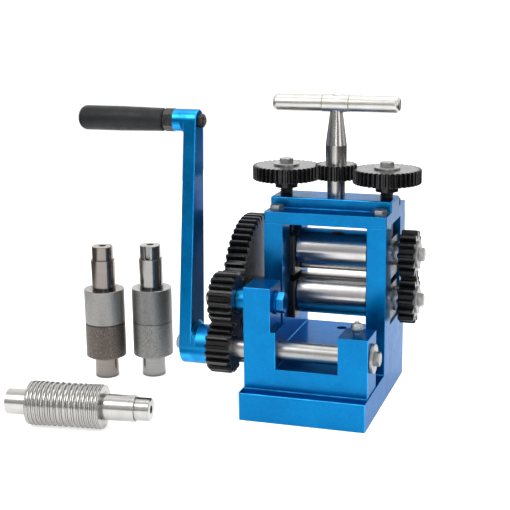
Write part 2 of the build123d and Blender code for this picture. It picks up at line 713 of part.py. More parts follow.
def roll_body(groove=0.0):
    """Roll standing on z = 0: short journal, barrel, long journal and gear seat with its keyway."""
    journal = journal_diameter / 2
    barrel_low = short_journal_length
    barrel_high = barrel_low + roll_length
    seat_low = barrel_high + long_journal_length
    top = seat_low + gear_seat_length
    body = rod_z(journal, 0, seat_low, 0, 0)
    body = chamfer(body.edges().group_by(Axis.Z)[0], roll_edge_chamfer)
    barrel = rod_z(roll_radius, barrel_low, barrel_high, 0, 0)
    body += chamfer(barrel.edges().filter_by(GeomType.CIRCLE), roll_edge_chamfer)
    seat = rod_z(seat_radius, seat_low, top, 0, 0)
    body += chamfer(seat.edges().group_by(Axis.Z)[-1], roll_edge_chamfer)
    body -= turned_groove(journal, journal_relief_depth, barrel_high, barrel_high + journal_relief_width)
    if groove > 0:
        middle = (barrel_low + barrel_high) / 2
        body -= turned_groove(roll_radius, groove, middle - groove, middle + groove)
    body -= rod_z(thread_radius, top - m8_reach, top, 0, 0)
    slot_half = train_key_width / 2
    slot_floor_y = -(seat_radius - train_key_height / 2)
    slot = block(-slot_half, slot_half, -seat_radius - cut_allowance, slot_floor_y, seat_low + slot_half, top)
    slot += (Location((0, slot_floor_y, seat_low + slot_half), (90, 0, 0))
             * Cylinder(slot_half, seat_radius, align=STANDING))
    return body - slot


def mounted(body):
    """A standing roll laid along X in the mill, its barrel centred and its keyway on top."""
    turned = Location((-barrel_end - short_journal_length, 0, 0), (0, 90, 0)) * body
    return turned.rotate(Axis.X, -90)


upper_roll = Location((0, roll_y, upper_roll_z)) * mounted(roll_body())
parts["upper_roll"] = upper_roll

lower_roll = Location((0, roll_y, lower_roll_z)) * mounted(roll_body())
drive_seat_end = drive_inner_x - drive_seat_length
lower_roll += rod_x(journal_diameter / 2, drive_inner_x, -barrel_end, roll_y, lower_roll_z)
lower_roll += rod_x(seat_radius, drive_seat_end, drive_inner_x, roll_y, lower_roll_z)
lower_roll -= keyway(drive_seat_end, drive_inner_x - train_key_width / 2, roll_y, lower_roll_z, seat_radius)
lower_roll -= rod_x(thread_radius, drive_seat_end, drive_seat_end + m8_reach, roll_y, lower_roll_z)
parts["lower_roll"] = lower_roll

roll_gear_end = roll_gear_x + roll_gear_width
roll_seat_end = roll_gear_x + gear_seat_length
roll_key_start = roll_gear_x + fitted_clearance
for name, axis_z, phase in (("lower", lower_roll_z, pi / 2), ("upper", upper_roll_z, pi / 2)):
    gear = train_gear(roll_gear_teeth, phase, roll_gear_width, roll_gear_end, roll_y, axis_z,
                      roll_gear_chamfer, roll_gear_module, roll_tooth_backlash)
    gear -= rod_x(seat_radius + fitted_clearance, roll_gear_x, roll_gear_end, roll_y, axis_z)
    gear -= keyway(roll_gear_x, roll_gear_end, roll_y, axis_z, seat_radius)
    parts[f"{name}_roll_gear"] = gear

roll_bolt = hex_bolt(m8_diameter, m8_flats, m8_head, m8_reach)
roll_washer = washer(roll_washer_diameter, m8_diameter, roll_washer_thickness)
right_washer_end = roll_gear_end + roll_washer_thickness
left_washer_end = drive_outer_x - roll_washer_thickness
parts["upper_roll_key"] = key(roll_key_start, roll_seat_end, roll_y, upper_roll_z, seat_radius)
parts["upper_roll_washer"] = along(roll_gear_end, roll_y, upper_roll_z, "+x") * roll_washer
parts["upper_roll_bolt"] = along(right_washer_end, roll_y, upper_roll_z, "+x") * roll_bolt
parts["lower_roll_keys"] = Compound([
    key(roll_key_start, roll_seat_end, roll_y, lower_roll_z, seat_radius),
    key(drive_seat_end, drive_inner_x - train_key_width / 2, roll_y, lower_roll_z, seat_radius)])
parts["lower_roll_washers"] = Compound([along(roll_gear_end, roll_y, lower_roll_z, "+x") * roll_washer,
                                        along(drive_outer_x, roll_y, lower_roll_z, "-x") * roll_washer])
parts["lower_roll_bolts"] = Compound([along(right_washer_end, roll_y, lower_roll_z, "+x") * roll_bolt,
                                      along(left_washer_end, roll_y, lower_roll_z, "-x") * roll_bolt])

# ================================================================ crank
shaft_outer_x = arm_outer_x + arm_cap_thickness
shoulder_x = right_post_inner_x - end_clearance
crank_shaft = rod_x(shaft_diameter / 2, pinion_inner_x, shoulder_x, shaft_y, shaft_z)
crank_shaft += rod_x(shaft_end_diameter / 2, shoulder_x, shaft_end_x, shaft_y, shaft_z)
crank_shaft += rod_x(shaft_seat_radius, shaft_outer_x, pinion_inner_x, shaft_y, shaft_z)
crank_key_end = pinion_inner_x - pinion_key_inset
crank_key_start = shaft_outer_x + crank_key_inset
key_split = arm_hub_x
crank_shaft -= keyway(crank_key_start, crank_key_end, shaft_y, shaft_z, shaft_seat_radius)
crank_shaft -= rod_x(thread_radius, shaft_outer_x, shaft_outer_x + m8_reach, shaft_y, shaft_z)
crank_shaft -= rod_x(thread_radius, shaft_end_x - m8_reach, shaft_end_x, shaft_y, shaft_z)
parts["crank_shaft"] = crank_shaft
parts["crank_keys"] = Compound([
    key(key_split + end_clearance, crank_key_end, shaft_y, shaft_z, shaft_seat_radius),
    key(crank_key_start, key_split - end_clearance, shaft_y, shaft_z, shaft_seat_radius)])


def leaned(shape):
    """A piece of the crank, turned from upright to where the crank stands."""
    return shape.rotate(Axis((0, shaft_y, shaft_z), (1, 0, 0)), -crank_lean)


def tangent_outline(low_radius, high_radius, distance):
    """Face bounded by two circles, one above the other, and the straight lines that touch both."""
    lean = (low_radius - high_radius) / distance
    rise, run = lean, sqrt(1 - lean ** 2)
    low_right, low_left = (low_radius * run, low_radius * rise), (-low_radius * run, low_radius * rise)
    high_right = (high_radius * run, distance + high_radius * rise)
    high_left = (-high_radius * run, distance + high_radius * rise)
    edges = [Line(low_right, high_right), ThreePointArc(high_right, (0, distance + high_radius), high_left),
             Line(high_left, low_left), ThreePointArc(low_left, (0, -low_radius), low_right)]
    return Face(Wire(edges))


eye_z = shaft_z + crank_radius
arm_outline = tangent_outline(arm_hub_radius, arm_eye_radius, crank_radius)
arm = extrude(section_plane(arm_outer_x, shaft_y, shaft_z).location * arm_outline, arm_thickness)
arm = fillet(arm.faces().sort_by(Axis.X)[-1].edges() + arm.faces().sort_by(Axis.X)[0].edges(), arm_edge_radius)
arm += rod_x(arm_hub_radius, arm_inner_x - arm_edge_radius, arm_hub_x, shaft_y, shaft_z)
arm += rod_x(arm_eye_radius, eye_outer_x, arm_outer_x + arm_edge_radius, shaft_y, eye_z)
flare_limits = extrude(section_plane(arm_outer_x - arm_flare, shaft_y, shaft_z).location * arm_outline,
                       arm_thickness + 2 * arm_flare)
hub_flare = Cone(arm_hub_radius + arm_flare, arm_hub_radius, arm_flare, align=STANDING)
eye_flare = Cone(arm_eye_radius + arm_flare, arm_eye_radius, arm_flare, align=STANDING)
arm += (along(arm_inner_x, shaft_y, shaft_z, "+x") * hub_flare) & flare_limits
arm += (along(arm_outer_x, shaft_y, eye_z, "-x") * eye_flare) & flare_limits
arm = leaned(arm)
arm -= rod_x(shaft_seat_radius + fitted_clearance, shaft_outer_x, arm_hub_x, shaft_y, shaft_z)
arm -= rod_x(thread_radius, arm_outer_x, shaft_outer_x, shaft_y, shaft_z)
arm -= keyway(crank_key_start, arm_hub_x, shaft_y, shaft_z, shaft_seat_radius)
arm -= leaned(rod_x(thread_radius, eye_outer_x, arm_inner_x, shaft_y, eye_z))
parts["crank_arm"] = arm

hub_washer_end = arm_outer_x - hub_washer_thickness
parts["crank_hub_washer"] = (along(arm_outer_x, shaft_y, shaft_z, "-x")
                             * washer(hub_washer_diameter, m8_diameter, hub_washer_thickness))
parts["crank_hub_bolt"] = along(hub_washer_end, shaft_y, shaft_z, "-x") * roll_bolt
parts["crank_end_washer"] = (along(shaft_end_x, shaft_y, shaft_z, "+x")
                             * washer(crank_end_washer_diameter, m8_diameter, crank_end_washer_thickness))
parts["crank_end_bolt"] = (along(shaft_end_x + crank_end_washer_thickness, shaft_y, shaft_z, "+x")
                           * Rot(0, 0, crank_end_bolt_turn) * roll_bolt)

# The grip turns on a spindle, which is screwed through a hexagon collar and the arm's eye into a nut.
grip_outer_x = grip_inner_x - grip_length
spindle_head_x = grip_outer_x + grip_closed_end + end_clearance
spindle_inner_x = spindle_head_x + grip_spindle_head_height
spindle_end_x = arm_inner_x + m8_nut_height + thread_end
spindle = rod_x(grip_spindle_diameter / 2, spindle_inner_x, eye_outer_x, shaft_y, eye_z)
spindle += rod_x(grip_spindle_head_diameter / 2, spindle_head_x, spindle_inner_x, shaft_y, eye_z)
spindle += rod_x(thread_radius - fitted_clearance, eye_outer_x, spindle_end_x, shaft_y, eye_z)
parts["grip_spindle"] = leaned(spindle)
collar = hexagon_prism(grip_collar_flats, grip_collar_width)
collar -= Cylinder(grip_spindle_diameter / 2 + fitted_clearance, grip_collar_width, align=STANDING)
parts["grip_collar"] = leaned(along(eye_outer_x, shaft_y, eye_z, "-x") * collar)
parts["grip_nut"] = leaned(along(arm_inner_x, shaft_y, eye_z, "+x")
                           * hex_nut(m8_nut_flats, m8_diameter, m8_nut_height))

grip_radius = grip_outer_diameter / 2
grip_small_radius = grip_inner_diameter / 2
grip_sides = Polyline((0, 0), (grip_small_radius - arm_edge_radius, 0), (grip_small_radius, arm_edge_radius),
                      (grip_radius, grip_length / 2), (grip_radius, grip_length), (0, grip_length), (0, 0))
grip = revolve(Plane.XZ * make_face(grip_sides), Axis.Z)
grip = fillet(grip.edges().group_by(Axis.Z)[-1], grip_end_radius)
grip_pocket_top = grip_length - grip_closed_end
grip_pocket_bottom = grip_pocket_top - grip_spindle_head_height - 2 * end_clearance
grip -= rod_z(grip_spindle_diameter / 2 + running_clearance, 0, grip_pocket_top, 0, 0)
grip -= rod_z(grip_spindle_head_diameter / 2 + end_clearance, grip_pocket_bottom, grip_pocket_top, 0, 0)
parts["crank_grip"] = leaned(along(grip_inner_x, shaft_y, eye_z, "-x") * grip)

# ================================================================ adjusting screws
screw_gear_bottom = screw_gear_top - screw_gear_width
screw_shoulder = screw_gear_bottom - screw_gear_boss_height
square_top = screw_gear_top - screw_gear_recess
right_screw_phase = 0.0
centre_phase = meshing_phase(right_screw_phase, screw_gear_teeth, centre_pinion_teeth, pi)
left_screw_phase = meshing_phase(centre_phase, centre_pinion_teeth, screw_gear_teeth, pi)


def flat_gear(teeth, phase, bottom, top, x):
    """Spur gear lying level."""
    gear = spur_gear(teeth, adjuster_module, tooth_backlash, phase, top - bottom, adjuster_chamfer)
    return Location((x, roll_y, bottom)) * gear


def square_bar(side, z_from, z_to, x):
    half = side / 2
    return block(x - half, x + half, roll_y - half, roll_y + half, z_from, z_to)


for name, x, phase in (("left", -screw_spacing, left_screw_phase), ("right", screw_spacing, right_screw_phase)):
    screw = rod_z(screw_diameter / 2, screw_tip_z, screw_shoulder, x, roll_y)
    screw = chamfer(screw.edges().group_by(Axis.Z)[0], screw_tip_chamfer)
    screw += square_bar(screw_square, screw_shoulder, square_top, x)
    screw -= rod_z(thread_radius, square_top - m8_reach, square_top, x, roll_y)
    parts[f"{name}_adjusting_screw"] = screw
    wheel = flat_gear(screw_gear_teeth, phase, screw_gear_bottom, screw_gear_top, x)
    wheel += rod_z(screw_gear_boss_diameter / 2, screw_shoulder, screw_gear_bottom, x, roll_y)
    wheel -= square_bar(screw_square + 2 * fitted_clearance, screw_shoulder, screw_gear_top, x)
    parts[f"{name}_adjusting_gear"] = wheel
    top_washer = washer(screw_washer_diameter, m8_diameter, roll_washer_thickness)
    parts[f"{name}_screw_washer"] = Location((x, roll_y, screw_gear_top)) * top_washer
    parts[f"{name}_screw_bolt"] = (Location((x, roll_y, screw_gear_top + roll_washer_thickness))
                                   * hex_bolt(m8_diameter, m8_flats, m8_head, m8_reach))

# ================================================================ tee handle
centre_pinion_bottom = centre_pinion_top - centre_pinion_width


def spindle_bar(diameter, z_from, z_to):
    """Round bar on the tee handle's own axis."""
    return rod_z(diameter / 2, z_from, z_to, 0, roll_y)


bore_allowance = 2 * fitted_clearance
centre_pinion = flat_gear(centre_pinion_teeth, centre_phase, centre_pinion_bottom, centre_pinion_top, 0)
centre_pinion -= spindle_bar(spindle_seat_diameter + bore_allowance, centre_pinion_bottom, centre_pinion_top)
parts["centre_pinion"] = centre_pinion

hub_radius = tee_hub_diameter / 2
hub_half = tee_hub_length / 2
spindle_foot = frame_top - end_clearance
spindle_hole_top = spindle_foot + m8_reach
seat_foot = crossbar_top + running_clearance
column_radius = spindle_column_diameter / 2
neck_radius = spindle_neck_diameter / 2
neck_top = tee_z - sqrt(hub_radius ** 2 - neck_radius ** 2)
taper = Cone(column_radius, neck_radius, neck_top - spindle_taper_start, align=STANDING)
tee_spindle = spindle_bar(spindle_journal_diameter, spindle_foot, seat_foot)
tee_spindle += spindle_bar(spindle_seat_diameter, seat_foot, centre_pinion_top)
tee_spindle += spindle_bar(spindle_column_diameter, centre_pinion_top, spindle_taper_start)
tee_spindle += Location((0, roll_y, spindle_taper_start)) * taper
tee_spindle += spindle_bar(spindle_neck_diameter, neck_top, tee_z)
tee_spindle -= rod_x(hub_radius, -hub_half, hub_half, roll_y, tee_z)
tee_spindle += spindle_bar(tee_tenon_diameter, tee_z - hub_radius - tee_tenon_root,
                           tee_z + hub_radius - tee_seam_chamfer)
tee_spindle -= spindle_bar(m6_diameter, spindle_foot, spindle_hole_top)
parts["tee_spindle"] = tee_spindle

tee_hub = rod_x(hub_radius, -hub_half, hub_half, roll_y, tee_z)
tee_hub = chamfer(tee_hub.edges().filter_by(GeomType.CIRCLE), tee_seam_chamfer)
tee_hub -= spindle_bar(tee_tenon_diameter + bore_allowance, tee_z - hub_radius, tee_z + hub_radius)
stud_hole = rod_x(tee_stud_diameter / 2 + fitted_clearance, hub_half - tee_stud_length, hub_half, roll_y, tee_z)
parts["tee_hub"] = tee_hub - stud_hole - mirrored(stud_hole)

tee_arm = rod_x(tee_bar_diameter / 2, tee_hub_length / 2, tee_bar_length / 2, roll_y, tee_z)
tee_arm = fillet(tee_arm.faces().sort_by(Axis.X)[-1].edges(), tee_bar_end_radius)
tee_arm += rod_x(tee_stud_diameter / 2, tee_hub_length / 2 - tee_stud_length, tee_hub_length / 2, roll_y, tee_z)
parts["tee_arms"] = Compound([tee_arm, mirrored(tee_arm)])

flange_bottom = spindle_foot - spindle_screw_flange_height
spindle_screw = spindle_bar(spindle_screw_flange_diameter, flange_bottom, spindle_foot)
spindle_screw += (along(0, roll_y, flange_bottom, "-z")
                  * hexagon_prism(spindle_screw_head_flats, spindle_screw_head_height))
spindle_screw += spindle_bar(m6_diameter - bore_allowance, spindle_foot, spindle_hole_top - thread_end)
parts["spindle_screw"] = spindle_screw

# ================================================================ spare rolls
plain_x, plain_y = plain_roll_place
knurled_x, knurled_y = knurled_roll_place
plain_stand = Location((plain_x, plain_y, 0), (0, 0, plain_roll_turn))
knurled_stand = Location((knurled_x, knurled_y, 0), (0, 0, knurled_roll_turn))
parts["spare_satin_roll"] = plain_stand * roll_body(plain_roll_groove)
parts["spare_textured_roll"] = knurled_stand * roll_body(knurled_roll_groove)


def wire_grooves():
    """Half round grooves round a standing roll's barrel, widest in the middle."""
    middle = short_journal_length + roll_length / 2
    cutters = []
    for direction in (-1, 1):
        place = middle
        for index in reversed(range(wire_groove_count)):
            radius = wire_groove_smallest + wire_groove_step * index
            place += direction * (radius + wire_groove_land / 2)
            ring = Torus(roll_radius + radius * (1 - wire_groove_depth_share), radius)
            cutters.append(Location((0, 0, place)) * ring)
            place += direction * (radius + wire_groove_land / 2)
    return cutters


wire_roll = roll_body()
for cutter in wire_grooves():
    wire_roll -= cutter
wire_x, wire_y = wire_roll_centre
lying = mounted(wire_roll).rotate(Axis.Z, wire_roll_angle)
parts["spare_wire_roll"] = Location((wire_x, wire_y, roll_radius)) * lying

# ================================================================ files
os.makedirs("parts", exist_ok=True)
for name, shape in parts.items():
    export_step(shape, f"parts/{name}.step")
handle_turns = gap_travel / screw_pitch * screw_gear_teeth / centre_pinion_teeth
print(len(parts), "parts; the tee handle closes the rolls in", round(handle_turns, 2), "turns")
print("shaft axis y", round(shaft_y, 4), "idler axis y", round(idler_y, 3), "z", round(idler_z, 3),
      "roll axis y", round(roll_y, 4))
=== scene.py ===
import json
from math import cos, pi, radians, sin

import bmesh
import bpy
from mathutils import Matrix, Vector


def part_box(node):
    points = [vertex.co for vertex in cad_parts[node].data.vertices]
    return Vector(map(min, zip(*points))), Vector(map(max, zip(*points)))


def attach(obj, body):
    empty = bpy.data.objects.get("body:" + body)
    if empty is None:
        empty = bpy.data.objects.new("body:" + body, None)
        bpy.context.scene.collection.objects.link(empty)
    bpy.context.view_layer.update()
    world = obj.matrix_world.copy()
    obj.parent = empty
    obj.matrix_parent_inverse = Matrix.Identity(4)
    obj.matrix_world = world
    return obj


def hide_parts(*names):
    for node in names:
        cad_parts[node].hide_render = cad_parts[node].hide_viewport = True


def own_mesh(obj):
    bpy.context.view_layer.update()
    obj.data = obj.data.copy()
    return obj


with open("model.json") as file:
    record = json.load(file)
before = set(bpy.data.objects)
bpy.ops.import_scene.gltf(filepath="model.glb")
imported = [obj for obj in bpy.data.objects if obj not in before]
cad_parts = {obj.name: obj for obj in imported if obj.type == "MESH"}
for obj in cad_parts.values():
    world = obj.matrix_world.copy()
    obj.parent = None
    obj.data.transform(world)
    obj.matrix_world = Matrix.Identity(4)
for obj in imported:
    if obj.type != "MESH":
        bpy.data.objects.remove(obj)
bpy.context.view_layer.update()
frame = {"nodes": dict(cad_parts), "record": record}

# Looks for a hand cranked rolling mill. Metres, in the row frame: X along the rolls, Y to the back, Z up.
scene = bpy.context.scene
nodes = frame["nodes"]

# ---------------------------------------------------------------- sizes shared with the CAD model
SCREW_X = 0.05425                               # adjusting screws, each side of the middle
SCREW_PITCH, SCREW_CREST, SCREW_ROOT = 0.002, 0.0070, 0.0061
SQUARE_HALF = 0.00475                           # half the width of the screw's square
SPRING_WIRE, SPRING_COIL = 0.00075, 0.0036      # radii
SPRING_OFFSET = 0.017                           # lifting springs, fore and aft of the rolls' axes
WIRE_ROLL_TURN = radians(6.7)
BARREL_LOW, BARREL_HIGH = 0.024, 0.100          # standing spare rolls
BARREL_EDGE, SEAM_HALF = 0.0005, 0.0005
WASHER_BORDER_X = -0.07                         # between the idler's plated and painted washers
SLOT_WIDTH = 0.047                              # of the slots that hold the bearing blocks
TIER_THICKNESS = 0.0123                         # lower tier of the top plate
CROSSBAR_FROM_FRONT, CROSSBAR_FROM_BACK = 0.0245, 0.0340        # its upper tier, from the plate's edges

# ---------------------------------------------------------------- places worked out from the CAD nodes
BRACKET_LOW, BRACKET_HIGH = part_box("front_bracket")
PLATE_LOW, PLATE_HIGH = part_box("top_plate")     # as wide and as deep as the side frames under it
WINDOW_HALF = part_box("right_side_frame")[0].x
TABLE_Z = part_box("plinth")[1].z
TIER_Z = PLATE_LOW.z + TIER_THICKNESS
CROSSBAR_FRONT, CROSSBAR_BACK = PLATE_LOW.y + CROSSBAR_FROM_FRONT, PLATE_HIGH.y - CROSSBAR_FROM_BACK
ROLL_Y = (PLATE_LOW.y + PLATE_HIGH.y) / 2       # axes of the rolls and of the adjusting screws
SLOT_FRONT = ROLL_Y - SLOT_WIDTH / 2
SCREW_SHOULDER_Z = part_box("right_adjusting_gear")[0].z          # end of the thread

# ---------------------------------------------------------------- view of the photograph
AZIMUTH, ELEVATION, ROLL = radians(17.97), radians(13.59), radians(-0.66)
MIDDLE = Vector((0, 0, 0.110))
DISTANCE, SIDEWAYS, UPWARD = 1.2521, -0.07277, 0.0410
FOCAL_PIXELS, IMAGE_PIXELS, SENSOR = 1205.97, 510, 36


# ================================================================ camera
def place_camera():
    back = Vector((sin(AZIMUTH) * cos(ELEVATION), -cos(AZIMUTH) * cos(ELEVATION), sin(ELEVATION)))
    right = Vector((cos(AZIMUTH), sin(AZIMUTH), 0))
    up = back.cross(right)
    turned_right = right * cos(ROLL) + up * sin(ROLL)
    turned_up = up * cos(ROLL) - right * sin(ROLL)
    place = MIDDLE + back * DISTANCE + turned_right * SIDEWAYS + turned_up * UPWARD
    data = bpy.data.cameras.new("Camera")
    data.sensor_width = SENSOR
    data.lens = FOCAL_PIXELS / IMAGE_PIXELS * SENSOR
    data.clip_start, data.clip_end = 0.01, 50
    camera = bpy.data.objects.new("Camera", data)
    scene.collection.objects.link(camera)
    camera.matrix_world = Matrix((
        (turned_right.x, turned_up.x, back.x, place.x),
        (turned_right.y, turned_up.y, back.y, place.y),
        (turned_right.z, turned_up.z, back.z, place.z),
        (0, 0, 0, 1)))
    scene.camera = camera


place_camera()


# ================================================================ shader building
class Tree:
    """Short calls for the nodes used here."""

    def __init__(self, tree):
        self.tree = tree

    def node(self, kind, **settings):
        made = self.tree.nodes.new("ShaderNode" + kind)
        for key, value in settings.items():
            setattr(made, key, value)
        return made

    def link(self, source, target):
        self.tree.links.new(source, target)

    def split(self, source):
        """The X, Y and Z of a vector."""
        made = self.node("SeparateXYZ")
        self.link(source, made.inputs[0])
        return made.outputs

    def remap(self, source, low, high, to_low=0.0, to_high=1.0):
        made = self.node("MapRange")
        for name, value in (("From Min", low), ("From Max", high), ("To Min", to_low), ("To Max", to_high)):
            made.inputs[name].default_value = value
        self.link(source, made.inputs["Value"])
        return made.outputs["Result"]

    def math(self, operation, *values):
        made = self.node("Math", operation=operation)
        for socket, value in zip(made.inputs, values):
            if isinstance(value, (int, float)):
                socket.default_value = value
            else:
                self.link(value, socket)
        return made.outputs[0]

    def mix(self, factor, first, second):
        """Colour that goes from first to second as the factor goes from 0 to 1."""
        made = self.node("Mix", data_type="RGBA")
        for socket, value in ((0, factor), (6, first), (7, second)):
            if isinstance(value, tuple):
                made.inputs[socket].default_value = (*value, 1)
            else:
                self.link(value, made.inputs[socket])
        return made.outputs[2]

    def choose(self, factor, first, second):
        """Number that goes from first to second as the factor goes from 0 to 1."""
        made = self.node("Mix", data_type="FLOAT")
        for socket, source in ((0, factor), (2, first), (3, second)):
            self.link(source, made.inputs[socket])
        return made.outputs[0]


class Shader(Tree):
    """A material, in the coordinates of its object."""

    def __init__(self, name, **settings):
        self.material = bpy.data.materials.new(name)
        self.material.use_nodes = True
        super().__init__(self.material.node_tree)
        self.surface = self.tree.nodes["Principled BSDF"]
        for socket, value in settings.items():
            self.surface.inputs[socket.replace("_", " ")].default_value = value
        self.place = None

    def coordinates(self, scale=(1, 1, 1), turn=(0, 0, 0)):
        if self.place is None:
            self.place = self.node("TexCoord").outputs["Object"]
        mapping = self.node("Mapping")
        mapping.inputs["Rotation"].default_value = turn
        mapping.inputs["Scale"].default_value = scale
        self.link(self.place, mapping.inputs["Vector"])
        return mapping.outputs["Vector"]

    def noise(self, size, detail=3.0, roughness=0.5, stretch=(1, 1, 1), turn=(0, 0, 0)):
        """Noise whose blobs are about size metres, stretched by a factor along each axis."""
        made = self.node("TexNoise")
        made.inputs["Scale"].default_value = 1.0
        made.inputs["Detail"].default_value = detail
        made.inputs["Roughness"].default_value = roughness
        scale = [1 / (size * s) for s in stretch]
        self.link(self.coordinates(scale, turn), made.inputs["Vector"])
        return made.outputs["Fac"]

    def cells(self, size):
        """A random colour in each cell of about size metres."""
        made = self.node("TexVoronoi")
        made.inputs["Scale"].default_value = 1.0
        self.link(self.coordinates([1 / size] * 3), made.inputs["Vector"])
        return made.outputs["Color"]

    def patches(self, size, detail=4, roughness=0.5, low=0.3, high=0.7):
        """Noise spread over the whole range from 0 to 1."""
        return self.remap(self.noise(size, detail, roughness), low, high)

    def colour(self, source):
        self.link(source, self.surface.inputs["Base Color"])

    def rough(self, source, low, high):
        """Roughness between two values, as the source goes from 0.3 to 0.7."""
        self.link(self.remap(source, 0.3, 0.7, low, high), self.surface.inputs["Roughness"])

    def bump(self, source, depth, edge=0.0):
        """Height of up to depth metres, and edges rounded by that radius."""
        made = self.node("Bump")
        made.inputs["Strength"].default_value = 1.0
        made.inputs["Distance"].default_value = depth
        self.link(source, made.inputs["Height"])
        if edge:
            rounded = self.node("Bevel", samples=4)
            rounded.inputs["Radius"].default_value = edge
            self.link(rounded.outputs["Normal"], made.inputs["Normal"])
        self.link(made.outputs["Normal"], self.surface.inputs["Normal"])

    def edges(self, radius):
        """1 along the sharp edges, 0 on open faces."""
        rounded = self.node("Bevel", samples=4)
        rounded.inputs["Radius"].default_value = radius
        plain = self.node("NewGeometry")
        dot = self.node("VectorMath", operation="DOT_PRODUCT")
        self.link(rounded.outputs["Normal"], dot.inputs[0])
        self.link(plain.outputs["Normal"], dot.inputs[1])
        return self.remap(dot.outputs["Value"], 0.99, 0.85)

    def rounded(self):
        """1 on the rounded edges of a block, 0 on its flat faces, which lie square to the object's axes."""
        across = self.node("VectorMath", operation="ABSOLUTE")
        self.link(self.node("TexCoord").outputs["Normal"], across.inputs[0])
        x, y, z = self.split(across.outputs["Vector"])
        largest = self.math("MAXIMUM", self.math("MAXIMUM", x, y), z)
        return self.remap(largest, 0.985, 0.93)

    def hollows(self, reach):
        """1 deep in slots and corners, 0 on open faces; the mask for painted shade."""
        shaded = self.node("AmbientOcclusion", samples=4)
        shaded.inputs["Distance"].default_value = reach
        return self.remap(shaded.outputs["AO"], 0.88, 0.45)

    def edge_wear_and_highlight(self, base, radius, share, bright):
        """Base colour with a share of a brighter one along the edges, which on the gears and blocks is a
        painted highlight.
        """
        return self.mix(self.math("MULTIPLY", self.edges(radius), share), base, bright)


def darker(tone, share):
    return tuple(value * share for value in tone)


# ================================================================ materials
RING_WIDTH = 0.0007
RINGS_ALONG_X, RINGS_ALONG_Z = (1, 60, 60), (60, 60, 1)         # stretch of a noise across an axis
STREAKS_ALONG_X, STREAKS_ALONG_Z = (40, 1, 1), (1, 1, 40)       # and along it


def blue_paint(name, light, dark):
    """Metallic blue paint with a fine flake, a little orange peel and a painted highlight along its edges."""
    shader = Shader(name, Metallic=0.97, Coat_Weight=0.5, Coat_IOR=1.2, Coat_Roughness=0.14,
                    Specular_Tint=(0.22, 0.40, 0.58, 1))
    base = shader.mix(shader.patches(0.05, detail=3), dark, light)
    flake = shader.remap(shader.cells(0.0006), 0.0, 1.0, 0.0, 0.30)
    flaked = shader.mix(flake, base, (0.0, 0.36, 0.72))
    # painted highlight: a paler blue along sharp and rounded edges, stronger in patches
    edge_highlight_mask = shader.math("MAXIMUM", shader.edges(0.0009), shader.rounded())
    painted_edge_highlight = shader.math("MULTIPLY", edge_highlight_mask, shader.remap(shader.noise(0.02, 3), 0.4, 0.6, 0.35, 0.8))
    shader.colour(shader.mix(painted_edge_highlight, flaked, (0.03, 0.42, 0.90)))
    shader.rough(shader.noise(0.012, 4), 0.28, 0.40)
    shader.bump(shader.noise(0.0011, 2), 0.00002, 0.0010)
    return shader.material


def blue_and_zinc(name, border):
    """The idler's two washers: zinc plated up to a border along X, and painted with the bracket beyond it."""
    shader = Shader(name, Metallic=0.96)
    painted = shader.math("GREATER_THAN", shader.split(shader.coordinates())[0], border)
    mottled = shader.noise(0.004, 4)
    plated = shader.mix(mottled, (0.30, 0.305, 0.30), (0.40, 0.40, 0.39))
    blue = shader.mix(mottled, (0.0, 0.12, 0.35), (0.0, 0.09, 0.28))
    shader.colour(shader.mix(painted, plated, blue))
    shader.rough(shader.noise(0.0016, 5), 0.26, 0.40)
    shader.bump(shader.noise(0.0008, 3), 0.00002, 0.0004)
    return shader.material


def black_gear(name):
    """Semi-gloss black steel with a little dust in it and painted highlights along the tooth edges."""
    shader = Shader(name, Specular_IOR_Level=0.26, Coat_Weight=0.16, Coat_Roughness=0.10)
    dusty = shader.patches(0.006, detail=5, roughness=0.6, low=0.35)
    base = shader.mix(dusty, (0.003, 0.003, 0.0035), (0.009, 0.009, 0.010))
    # painted highlight along the tooth edges, stronger in patches
    highlight_share = shader.remap(shader.noise(0.006, 3), 0.4, 0.6, 0.3, 0.8)
    shader.colour(shader.edge_wear_and_highlight(base, 0.0002, highlight_share, (0.24, 0.24, 0.25)))
    shader.rough(shader.noise(0.012, 4), 0.20, 0.27)
    shader.bump(shader.noise(0.0015, 2), 0.000002, 0.0004)
    return shader.material


def black_oxide(name):
    """Blackened steel: satin, slightly brown in patches, with bare metal showing through along the edges."""
    shader = Shader(name, Metallic=0.7)
    brown = shader.patches(0.004, detail=5, roughness=0.6)
    base = shader.mix(brown, (0.020, 0.020, 0.021), (0.060, 0.057, 0.054))
    shader.colour(shader.edge_wear_and_highlight(base, 0.0003, 0.5, (0.20, 0.20, 0.20)))
    shader.rough(shader.noise(0.002, 4), 0.30, 0.50)
    shader.bump(shader.noise(0.0005, 3), 0.00002, 0.0003)
    return shader.material


def turned_steel(name, tone, shade, roughness, turn=(0, 0, 0), painted_shade_share=0.0):
    """Steel with the fine rings round X that turning and grinding leave, and painted shade in its grooves."""
    shader = Shader(name, Metallic=1.0)
    rings = shader.noise(RING_WIDTH, 3, 0.6, RINGS_ALONG_X, turn)
    base = shader.mix(shader.patches(0.02, low=0.35), tone, darker(tone, 0.84))
    turned = shader.mix(shader.remap(rings, 0.35, 0.65, 0.0, 0.5), base, shade)
    if painted_shade_share:
        # painted shade: darker deep in grooves and slots
        turned = shader.mix(shader.math("MULTIPLY", shader.hollows(0.004), painted_shade_share), turned, (0.06, 0.06, 0.06))
    shader.colour(turned)
    shader.rough(shader.noise(0.02, 3), *roughness)
    shader.bump(rings, 0.0000003, 0.0004)
    return shader.material


def zinc(name):
    """Zinc plated steel: dull grey, in patches."""
    shader = Shader(name, Metallic=1.0)
    base = shader.mix(shader.patches(0.005, low=0.35, high=0.65), (0.27, 0.275, 0.27), (0.36, 0.36, 0.35))
    shader.colour(shader.edge_wear_and_highlight(base, 0.0003, 0.5, (0.70, 0.70, 0.69)))
    shader.rough(shader.noise(0.0016, 5), 0.32, 0.46)
    shader.bump(shader.noise(0.0006, 4), 0.00002, 0.0003)
    return shader.material


